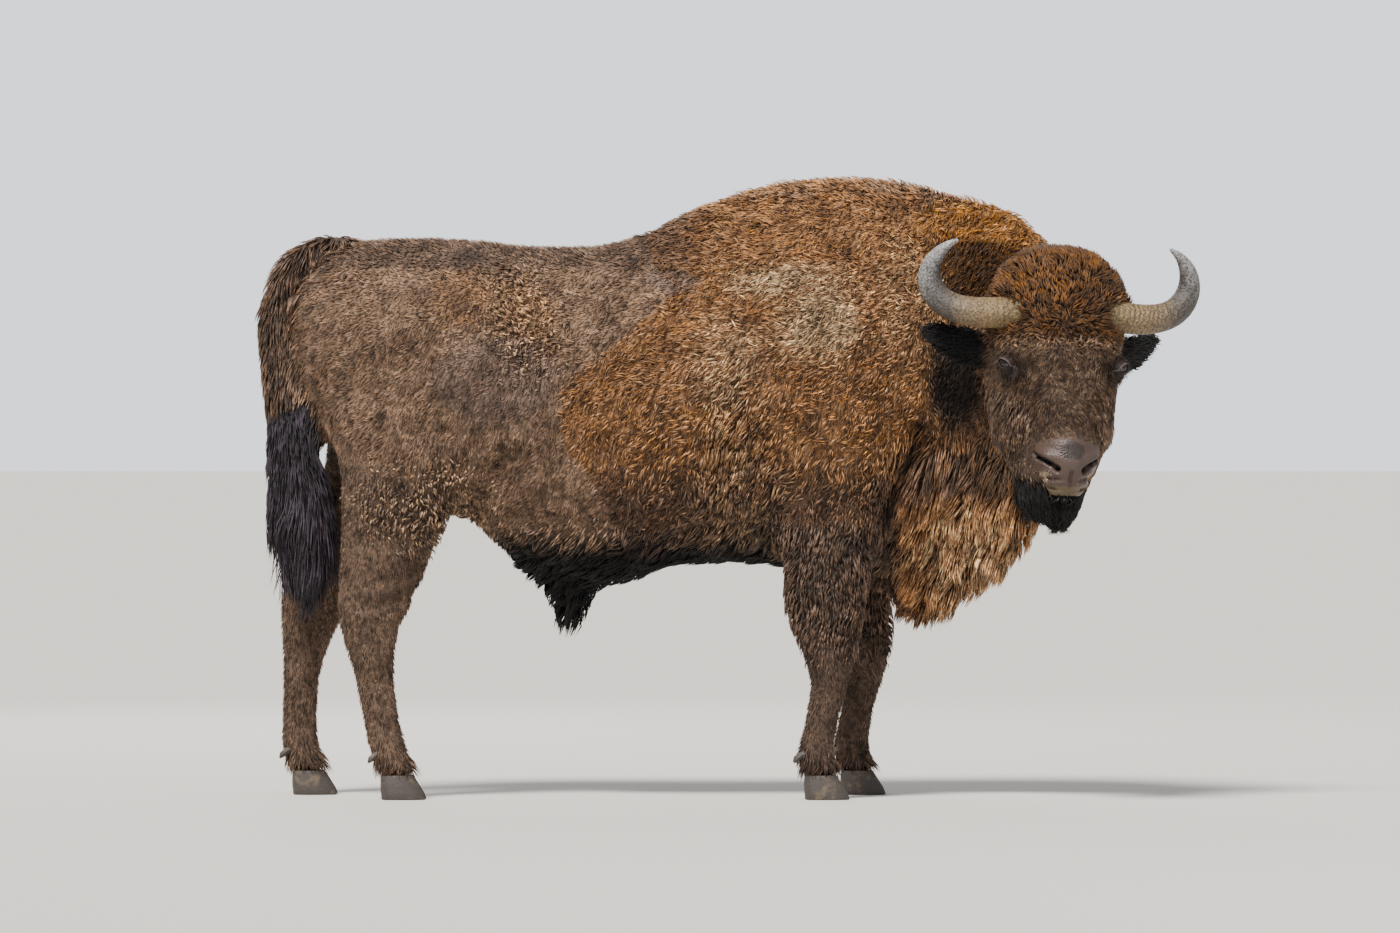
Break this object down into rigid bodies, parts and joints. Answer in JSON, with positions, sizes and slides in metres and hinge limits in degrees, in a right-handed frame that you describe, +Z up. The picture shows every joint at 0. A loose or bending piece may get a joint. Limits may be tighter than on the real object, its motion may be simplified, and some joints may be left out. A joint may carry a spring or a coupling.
{
  "type": "wisent bull",
  "caption": "Life-size standing European bison bull with moulting coat, curved horns and its head turned to its right; still museum-type model.",
  "frame": {"origin": "middle of the bounding box, on the floor under the soles", "axes": "+X toward the chest end along the trunk, +Y toward the animal's left, +Z up; the head is turned toward -Y"},
  "size_m": [2.7198, 1.0434, 1.8112],
  "materials": {
    "coat": "woolly moulting coat, rusty to grey brown",
    "dark_coat": "short and long dark brown hair",
    "horn": "worn keratin, pale tan base and grey tip",
    "hoof": "dark keratin",
    "eye": "wet dark brown"
  },
  "bodies": {
    "root": {"head": "coat", "neck": "coat", "trunk": "coat", "leg_front_right": "dark_coat", "leg_front_left": "dark_coat", "leg_hind_right": "dark_coat", "leg_hind_left": "dark_coat", "tail_dock": "dark_coat", "tail_switch": "dark_coat", "ear_right": "dark_coat", "ear_left": "dark_coat", "horn_right": "horn", "eye_right": "eye", "horn_left": "horn", "eye_left": "eye", "claw_front_right_outer": "hoof", "dewclaw_front_right_outer": "hoof", "claw_front_right_inner": "hoof", "dewclaw_front_right_inner": "hoof", "claw_front_left_outer": "hoof", "dewclaw_front_left_outer": "hoof", "claw_front_left_inner": "hoof", "dewclaw_front_left_inner": "hoof", "claw_hind_right_outer": "hoof", "dewclaw_hind_right_outer": "hoof", "claw_hind_right_inner": "hoof", "dewclaw_hind_right_inner": "hoof", "claw_hind_left_outer": "hoof", "dewclaw_hind_left_outer": "hoof", "claw_hind_left_inner": "hoof", "dewclaw_hind_left_inner": "hoof"}
  },
  "joints": []
}
